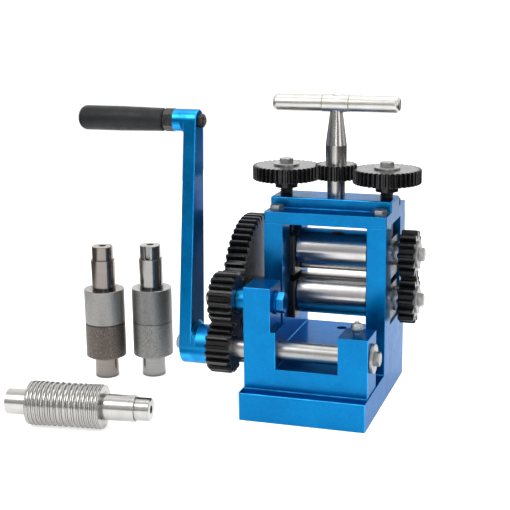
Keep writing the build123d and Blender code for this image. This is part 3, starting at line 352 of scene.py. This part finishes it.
def nickel(name, light, smeared, streak, depth, stretch, roughness):
    """Satin plating, slightly warm, with handling marks and dark streaks of a width, depth and direction."""
    shader = Shader(name, Metallic=1.0)
    drawn = shader.noise(streak, 3, 0.6, stretch)
    base = shader.mix(shader.patches(0.015), light, smeared)
    # dark streaks: drawn marks on the chrome, painted dark reflections on the tee's spindle
    shader.colour(shader.mix(shader.remap(drawn, 0.35, 0.65, 0.0, depth), base, darker(smeared, 0.5)))
    shader.rough(shader.noise(0.01, 4), *roughness)
    shader.bump(drawn, 0.0000004, 0.0005)
    return shader.material


def bronze(name):
    """Oily sintered bronze with open pores."""
    shader = Shader(name, Metallic=1.0)
    pores = shader.patches(0.0006, detail=3, low=0.35, high=0.6)
    shader.colour(shader.mix(pores, (0.045, 0.030, 0.018), (0.10, 0.065, 0.035)))
    shader.rough(shader.noise(0.003, 4), 0.28, 0.48)
    shader.bump(pores, 0.00002, 0.0003)
    return shader.material


def milled_steel(name):
    """Blackened block steel with the straight marks of a milling cutter and painted highlights on its edges.
    """
    shader = Shader(name, Metallic=0.8)
    marks = shader.noise(0.0004, 3, 0.6, stretch=(6, 6, 1))
    base = shader.mix(shader.remap(marks, 0.3, 0.7), (0.018, 0.018, 0.019), (0.040, 0.040, 0.042))
    # painted highlight along the block's edges
    shader.colour(shader.edge_wear_and_highlight(base, 0.0004, 0.6, (0.25, 0.25, 0.25)))
    shader.rough(shader.noise(0.004, 4), 0.26, 0.42)
    shader.bump(marks, 0.000006, 0.0005)
    return shader.material


def spring_steel(name):
    """Drawn spring wire."""
    shader = Shader(name, Metallic=1.0)
    drawn = shader.noise(0.0006, 3)
    shader.colour(shader.mix(drawn, (0.16, 0.16, 0.16), (0.36, 0.35, 0.34)))
    shader.rough(drawn, 0.22, 0.4)
    shader.bump(drawn, 0.000006)
    return shader.material


def grip_plastic(name):
    """Black moulded plastic, slightly grained and smoother where hands have polished it."""
    shader = Shader(name, Specular_IOR_Level=0.25)
    polished = shader.patches(0.02, low=0.35)
    shader.colour(shader.mix(polished, (0.007, 0.0075, 0.0085), (0.016, 0.017, 0.019)))
    shader.rough(shader.noise(0.008, 4), 0.40, 0.58)
    shader.bump(shader.noise(0.00045, 3), 0.00004, 0.0005)
    return shader.material


def worked_roll(name, upper, lower, journal, grains, depths):
    """Standing spare roll: turned journals, and a barrel with one surface above a seam and another below it.

    Upper, lower and journal are colours. Grains and depths are the size and the relief of the upper and the
    lower surface."""
    shader = Shader(name, Metallic=0.9)
    height = shader.split(shader.coordinates())[2]
    middle = (BARREL_LOW + BARREL_HIGH) / 2
    on_barrel = shader.math("MULTIPLY", shader.math("GREATER_THAN", height, BARREL_LOW + BARREL_EDGE),
                            shader.math("LESS_THAN", height, BARREL_HIGH - BARREL_EDGE))
    is_upper = shader.math("GREATER_THAN", height, middle)
    fine, coarse = (shader.noise(grain, 4, 0.7) for grain in grains)
    upper_tone = shader.mix(shader.remap(fine, 0.38, 0.62), darker(upper, 0.62), upper)
    lower_tone = shader.mix(shader.remap(coarse, 0.38, 0.62), darker(lower, 0.42), lower)
    off_middle = shader.math("ABSOLUTE", shader.math("SUBTRACT", height, middle))
    seam = shader.math("MULTIPLY", shader.math("LESS_THAN", off_middle, SEAM_HALF), 0.7)
    worked = shader.mix(seam, shader.mix(is_upper, lower_tone, upper_tone), (0.05, 0.05, 0.05))
    rings = shader.noise(RING_WIDTH, 3, 0.6, RINGS_ALONG_Z)
    turned = shader.mix(shader.remap(rings, 0.35, 0.65, 0.0, 0.3), journal, darker(journal, 0.6))
    # painted shade: the journals darker deep in the keyway
    turned = shader.mix(shader.hollows(0.005), turned, (0.02, 0.02, 0.02))
    shader.colour(shader.mix(on_barrel, turned, worked))
    polish = shader.remap(shader.noise(0.02, 3), 0.3, 0.7, 0.14, 0.22)
    matt = shader.remap(fine, 0.3, 0.7, 0.40, 0.54)
    shader.link(shader.choose(on_barrel, polish, matt), shader.surface.inputs["Roughness"])
    upper_relief = shader.math("MULTIPLY", fine, depths[0])
    lower_relief = shader.math("MULTIPLY", coarse, depths[1])
    ring_relief = shader.math("MULTIPLY", rings, 0.0000002)
    relief = shader.choose(on_barrel, ring_relief, shader.choose(is_upper, lower_relief, upper_relief))
    shader.bump(relief, 1.0, 0.0004)
    return shader.material


looks = {
    "blue_paint": blue_paint("blue_paint", (0.0, 0.130, 0.36), (0.0, 0.100, 0.30)),
    "blue_bolt": blue_paint("blue_bolt", (0.0, 0.085, 0.28), (0.0, 0.065, 0.22)),
    "zinc_bolt": zinc("zinc_bolt"),
    "black_oxide": black_oxide("black_oxide"),
    "black_gear": black_gear("black_gear"),
    "chrome": nickel(
        "chrome", (0.62, 0.605, 0.57), (0.54, 0.525, 0.495), 0.0008, 0.35, STREAKS_ALONG_X, (0.28, 0.34)),
    "bronze": bronze("bronze"),
    "block_steel": milled_steel("block_steel"),
    "spring_steel": spring_steel("spring_steel"),
    "ground_steel": turned_steel("ground_steel", (0.58, 0.57, 0.56), (0.42, 0.415, 0.41), (0.20, 0.25)),
    "key_steel": turned_steel("key_steel", (0.45, 0.45, 0.45), (0.30, 0.30, 0.30), (0.25, 0.40)),
    "grip_plastic": grip_plastic("grip_plastic"),
    "satin_steel": worked_roll(
        "satin_steel", (0.36, 0.355, 0.34), (0.165, 0.142, 0.125), (0.23, 0.204, 0.188),
        grains=(0.0008, 0.0014), depths=(0.00003, 0.00022)),
    "textured_steel": worked_roll(
        "textured_steel", (0.25, 0.25, 0.245), (0.31, 0.31, 0.30), (0.29, 0.286, 0.28),
        grains=(0.0011, 0.0011), depths=(0.00012, 0.00010)),
    "wire_roll_steel": turned_steel(
        "wire_roll_steel", (0.50, 0.49, 0.47), (0.38, 0.375, 0.36), (0.20, 0.24),
        turn=(0, 0, -WIRE_ROLL_TURN), painted_shade_share=0.75),
}
own_looks = {                   # nodes that look different from the rest of their slot
    # the spindle: a darker copy of the chrome, with painted dark reflections in wide streaks along Z
    "tee_spindle": nickel(
        "spindle_chrome_painted_reflections", (0.52, 0.50, 0.47), (0.44, 0.425, 0.41), 0.0030, 0.65, STREAKS_ALONG_Z, (0.20, 0.28)),
    "crank_shaft": turned_steel("shaft_steel", (0.39, 0.385, 0.38), (0.29, 0.285, 0.28), (0.28, 0.34)),
    "idler_washers": blue_and_zinc("idler_washers", WASHER_BORDER_X),
    "oiler": looks["zinc_bolt"],
}
for entry in frame["record"]["subparts"]:
    node = entry["node"]
    materials = nodes[node].data.materials
    materials.clear()
    materials.append(own_looks.get(node, looks[entry["material_slot"]]))


# ================================================================ pieces
UP, DOWN, LEFT, RIGHT, AHEAD, BEHIND = (0, 0, 1), (0, 0, -1), (-1, 0, 0), (1, 0, 0), (0, -1, 0), (0, 1, 0)


def add_piece(name, mesh, look, body, smooth=35):
    """New piece from a bmesh: shaded smooth up to an angle, dressed, and riding on a body."""
    data = bpy.data.meshes.new(name)
    bmesh.ops.recalc_face_normals(mesh, faces=mesh.faces)
    mesh.to_mesh(data)
    mesh.free()
    piece = bpy.data.objects.new(name, data)
    scene.collection.objects.link(piece)
    data.shade_smooth()
    data.set_sharp_from_angle(angle=radians(smooth))
    data.materials.append(looks[look])
    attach(piece, body)
    return piece


def skin(mesh, rings):
    """Faces from each ring of vertices to the next, and one over each end."""
    for first, second in zip(rings, rings[1:]):
        for side in range(len(first)):
            after = (side + 1) % len(first)
            mesh.faces.new((first[side], first[after], second[after], second[side]))
    mesh.faces.new(rings[0])
    mesh.faces.new(rings[-1])


def threaded_screw(name, x, node, body):
    """Adjusting screw with a real thread below its square, which starts a little inside the thread."""
    low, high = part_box(node)
    sides, rings_per_turn, blunt_end, sunk = 48, 8, 0.001, 0.0002
    steepness, crest_share = 1.25, 0.12
    length = SCREW_SHOULDER_Z - low.z
    steps = int(round(length / SCREW_PITCH * rings_per_turn))
    mesh = bmesh.new()
    rings = []
    for step in range(steps + 1):
        z = low.z + length * step / steps
        ring = []
        for side in range(sides):
            turn = 2 * pi * side / sides
            phase = ((z - low.z) / SCREW_PITCH - side / sides) % 1.0
            depth = min(1.0, max(0.0, steepness * (1 - abs(2 * phase - 1)) - crest_share))
            from_end = min(z - low.z, SCREW_SHOULDER_Z - z)
            radius = min(SCREW_CREST - (SCREW_CREST - SCREW_ROOT) * depth, SCREW_CREST - blunt_end + from_end)
            ring.append(mesh.verts.new((x + radius * cos(turn), ROLL_Y + radius * sin(turn), z)))
        rings.append(ring)
    skin(mesh, rings)
    half = SQUARE_HALF
    corners = [(-half, -half), (half, -half), (half, half), (-half, half)]
    skin(mesh, [[mesh.verts.new((x + dx, ROLL_Y + dy, z)) for dx, dy in corners]
                for z in (SCREW_SHOULDER_Z - sunk, high.z)])
    piece = add_piece(name, mesh, "black_oxide", body, 60)
    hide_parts(node)


def lifting_springs(name, node, body):
    """Coil springs with closed ends between the bearing blocks."""
    low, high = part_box(node)
    turns, steps, sides = 7, 28, 10
    closed, blend = 1.0, 0.5        # turns at each end that touch the next, and turns to the full pitch
    count = turns * steps
    climb = []                      # share of the full pitch at each step, on top of the wire's own thickness
    for step in range(count + 1):
        from_end = min(step, count - step) / steps
        climb.append(min(1.0, max(0.0, (from_end - closed) / blend + 0.5)))
    thickness = 2 * SPRING_WIRE
    spare = high.z - low.z - thickness - thickness * turns
    rise = spare / sum(climb)
    out = high.x - SPRING_WIRE - SPRING_COIL
    mesh = bmesh.new()
    for x in (-out, out):
        for y in (ROLL_Y - SPRING_OFFSET, ROLL_Y + SPRING_OFFSET):
            z = low.z + SPRING_WIRE
            rings = []
            for step in range(count + 1):
                turn = 2 * pi * step / steps
                outward = Vector((cos(turn), sin(turn), 0))
                place = Vector((x, y, z)) + outward * SPRING_COIL
                ring = []
                for side in range(sides):
                    angle = 2 * pi * side / sides
                    off = outward * SPRING_WIRE * cos(angle) + Vector((0, 0, SPRING_WIRE * sin(angle)))
                    ring.append(mesh.verts.new(place + off))
                rings.append(ring)
                z += rise * climb[step] + thickness / steps
            skin(mesh, rings)
    piece = add_piece(name, mesh, "spring_steel", body, 60)
    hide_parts(node)
    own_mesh(piece)


def paint_lines(name, runs, look, body, size=0.0010, sunk=0.0002, steps=4):
    """Corners filled with paint: each run is (start, end, first wall direction, second wall direction)."""
    mesh = bmesh.new()
    for start, end, first, second in runs:
        first, second = Vector(first), Vector(second)
        rings = []
        for place in (Vector(start), Vector(end)):
            ring = [place - first * sunk - second * sunk]
            for step in range(steps + 1):
                angle = pi / 2 * step / steps
                ring.append(place + first * size * (1 - sin(angle)) + second * size * (1 - cos(angle)))
            rings.append([mesh.verts.new(corner) for corner in ring])
        skin(mesh, rings)
    add_piece(name, mesh, look, body)


def across(half, y, z, facing, gap=0.0002):
    """Corner along X, between a ledge and the wall on it, which ends a small gap before the piece does."""
    return (gap - half, y, z), (half - gap, y, z), facing, UP


def in_window(x, back, z, inward, facing):
    """Corner along Y in the window between the side frames, from their front."""
    return (x, PLATE_LOW.y, z), (x, back, z), inward, facing


threaded_screw("left_screw_thread", -SCREW_X, "left_adjusting_screw", "left_screw")
threaded_screw("right_screw_thread", SCREW_X, "right_adjusting_screw", "right_screw")
lifting_springs("lifting_springs", "lift_springs", "upper_carriage")
paint_lines("corner_paint", [
    across(BRACKET_HIGH.x, BRACKET_LOW.y, BRACKET_LOW.z, AHEAD),
    across(BRACKET_HIGH.x, BRACKET_HIGH.y, BRACKET_LOW.z, BEHIND),
    across(PLATE_HIGH.x, PLATE_LOW.y, BRACKET_LOW.z, AHEAD),
    in_window(-WINDOW_HALF, PLATE_HIGH.y, TABLE_Z, RIGHT, UP),
    in_window(WINDOW_HALF, PLATE_HIGH.y, TABLE_Z, LEFT, UP),
    across(PLATE_HIGH.x, CROSSBAR_FRONT, TIER_Z, AHEAD),
    across(PLATE_HIGH.x, CROSSBAR_BACK, TIER_Z, BEHIND),
    in_window(-WINDOW_HALF, SLOT_FRONT, PLATE_LOW.z, RIGHT, DOWN),
    in_window(WINDOW_HALF, SLOT_FRONT, PLATE_LOW.z, LEFT, DOWN),
], "blue_paint", "frame")


# ================================================================ stage
def make_stage():
    """Plain white table top, long from front to back, which ends a little beside the object."""
    left, right, front, back = -0.62, 0.42, -6.0, 6.0
    corners = [(left, front), (right, front), (right, back), (left, back)]
    mesh = bmesh.new()
    mesh.faces.new([mesh.verts.new((x, y, 0)) for x, y in corners])
    data = bpy.data.meshes.new("floor")
    mesh.to_mesh(data)
    mesh.free()
    ground = bpy.data.objects.new("floor", data)
    scene.collection.objects.link(ground)
    shader = Shader("floor", Roughness=0.8, Specular_IOR_Level=0.2,
                    Emission_Color=(1, 1, 1, 1), Emission_Strength=0.6)
    shader.colour(shader.mix(shader.noise(0.5, 2), (0.78, 0.78, 0.78), (0.82, 0.82, 0.82)))
    data.materials.append(shader.material)


def soft_light(name, place, target, size, power, shape=(1.0, 1.0)):
    data = bpy.data.lights.new(name, "AREA")
    data.shape = "RECTANGLE"
    data.size, data.size_y = size * shape[0], size * shape[1]
    data.energy = power
    lamp = bpy.data.objects.new(name, data)
    scene.collection.objects.link(lamp)
    lamp.location = place
    lamp.rotation_mode = "QUATERNION"
    lamp.rotation_quaternion = (Vector(target) - Vector(place)).to_track_quat("-Z", "Y")


def make_world():
    """White to the camera. To all else a bright wall behind and a room in front, dark below the bench."""
    below, ceiling, wall, strength = 0.08, 1.2, 1.9, 0.75
    world = bpy.data.worlds.new("studio")
    scene.world = world
    world.use_nodes = True
    world.node_tree.nodes.clear()
    tree = Tree(world.node_tree)
    _, y, z = tree.split(tree.node("TexCoord").outputs["Generated"])
    room = tree.node("ValToRGB")
    room.color_ramp.elements[0].color = (below, below, below, 1)
    room.color_ramp.elements[1].color = (ceiling, ceiling, ceiling, 1)
    for position, tone in ((0.495, 0.10), (0.505, 0.55), (0.60, 0.65), (0.69, 1.0), (0.82, ceiling)):
        room.color_ramp.elements.new(position).color = (tone, tone, tone, 1)
    tree.link(tree.remap(z, -1.0, 1.0), room.inputs["Fac"])
    is_wall = tree.math("MULTIPLY", tree.remap(y, -0.1, 0.5), tree.remap(z, -0.02, 0.02))
    studio = tree.node("Background")
    studio.inputs["Strength"].default_value = strength
    tree.link(tree.mix(is_wall, room.outputs["Color"], (wall, wall, wall)), studio.inputs["Color"])
    white = tree.node("Background")
    white.inputs["Color"].default_value = (1, 1, 1, 1)
    white.inputs["Strength"].default_value = 1.05
    seen = tree.node("MixShader")
    tree.link(tree.node("LightPath").outputs["Is Camera Ray"], seen.inputs["Fac"])
    tree.link(studio.outputs[0], seen.inputs[1])
    tree.link(white.outputs[0], seen.inputs[2])
    tree.link(seen.outputs[0], tree.node("OutputWorld").inputs["Surface"])


make_stage()
make_world()
soft_light("key", (-0.9, -1.2, 1.5), (0, 0, 0.10), size=0.9, power=11)
soft_light("top", (0.1, 0.1, 1.6), (0, 0, 0.10), size=1.2, power=8)
soft_light("fill", (1.5, -0.9, 0.8), (0, 0, 0.12), size=0.9, power=6, shape=(0.7, 1.3))
soft_light("front", (0.35, -1.7, 0.55), (0, 0, 0.10), size=0.5, power=3, shape=(0.5, 1.6))
scene.view_settings.view_transform = "Standard"
